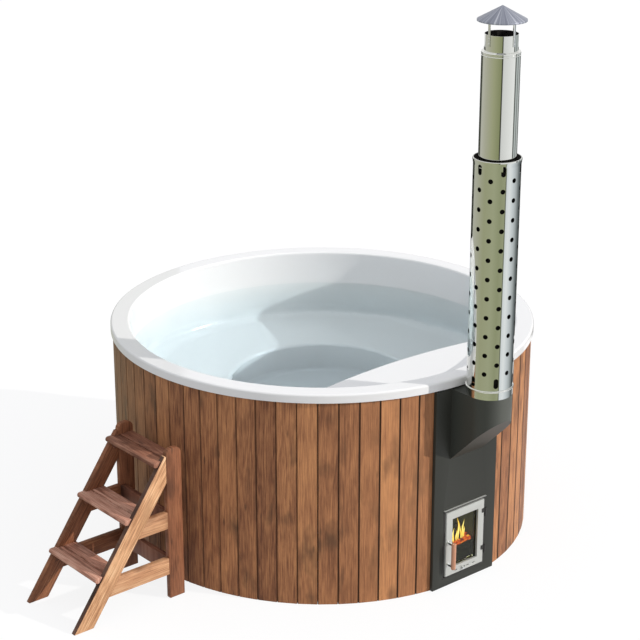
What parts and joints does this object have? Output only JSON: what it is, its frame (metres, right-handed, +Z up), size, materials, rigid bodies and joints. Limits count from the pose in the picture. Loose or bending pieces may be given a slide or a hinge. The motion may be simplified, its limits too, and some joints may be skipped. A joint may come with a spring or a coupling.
{
  "type": "wood-fired hot tub",
  "caption": "Round wood-clad hot tub with a white moulded liner, a built-in wood stove with a glazed door, a guarded flue with rain cap, a drain valve and loose wooden steps.",
  "frame": {"origin": "on the floor on the tub's axis, on the underside of the centre joist", "axes": "+Z up along the tub's axis, -Y towards the stove door and the flue, -X towards the steps, +X along the drain pipe"},
  "size_m": [2.704, 2.2225, 2.641],
  "materials": {
    "gelcoat_white": "gloss",
    "clad_wood": "oiled",
    "frame_wood": "planed",
    "black_sheet": "matt",
    "stove_steel": "mill",
    "grate_iron": "rough",
    "door_steel": "satin",
    "door_glass": "clear",
    "door_rope": "woven",
    "bright_steel": "polished",
    "grip_wood": "oiled",
    "flue_steel": "polished",
    "cap_steel": "dull",
    "drain_plastic": "matt",
    "valve_brass": "cast",
    "lever_paint": "gloss",
    "steps_wood": "oiled"
  },
  "bodies": {
    "tub": {"tub_liner": "gelcoat_white", "cladding_staves": "clad_wood", "frame_low_ring": "frame_wood", "frame_middle_ring": "frame_wood", "frame_top_ring": "frame_wood", "frame_low_studs": "frame_wood", "frame_high_studs": "frame_wood", "base_joists": "frame_wood", "seat_posts": "frame_wood", "stove_front_panel": "black_sheet", "stove_jacket": "stove_steel", "stove_feet": "stove_steel", "smoke_duct": "stove_steel", "fire_grate": "grate_iron", "ash_pan": "stove_steel", "door_frame": "black_sheet", "door_catch": "bright_steel", "hinge_frame_knuckles": "black_sheet", "flue_hood": "black_sheet", "flue_pipe": "flue_steel", "guard_sleeve": "flue_steel", "heat_guard": "flue_steel", "guard_spacers": "flue_steel", "cap_collar": "flue_steel", "cap_cone": "cap_steel", "cap_straps": "cap_steel", "circulation_pipes": "flue_steel", "bulkhead_fittings": "flue_steel", "drain_grate": "flue_steel", "drain_pipe": "drain_plastic"},
    "stove_door": {"door_leaf": "door_steel", "door_glass": "door_glass", "glass_retainer": "stove_steel", "door_gasket": "door_rope", "handle_posts": "bright_steel", "handle_grip": "grip_wood", "hinge_door_knuckles": "door_steel", "air_slide_cover": "stove_steel"},
    "air_slide": {"air_slide": "bright_steel"},
    "drain_valve": {"valve_lever": "lever_paint"},
    "step_set": {"steps_right_post": "steps_wood", "steps_right_stringer": "steps_wood", "steps_right_low_rail": "steps_wood", "steps_right_middle_rail": "steps_wood", "steps_left_post": "steps_wood", "steps_left_stringer": "steps_wood", "steps_left_low_rail": "steps_wood", "steps_left_middle_rail": "steps_wood", "steps_cross_rails": "steps_wood", "steps_cleats": "steps_wood", "steps_low_tread": "steps_wood", "steps_middle_tread": "steps_wood", "steps_top_tread": "steps_wood"}
  },
  "joints": [
    {"name": "stove_door_hinge", "type": "hinge", "parent": "tub", "child": "stove_door", "pos_m": [0.124, -1, 0.2115], "axis": [0, 0, 1], "range_deg": [0, 110]},
    {"name": "air_slide_travel", "type": "slide", "parent": "stove_door", "child": "air_slide", "axis": [1, 0, 0], "range_m": [0, 0.0185]},
    {"name": "drain_valve_turn", "type": "hinge", "parent": "tub", "child": "drain_valve", "pos_m": [1.026, 0.2, 0.045], "axis": [0, 0, 1], "range_deg": [0, 90]},
    {"name": "step_set_pull", "type": "slide", "parent": "tub", "child": "step_set", "axis": [-1, 0, 0], "range_m": [0, 0.5]}
  ]
}
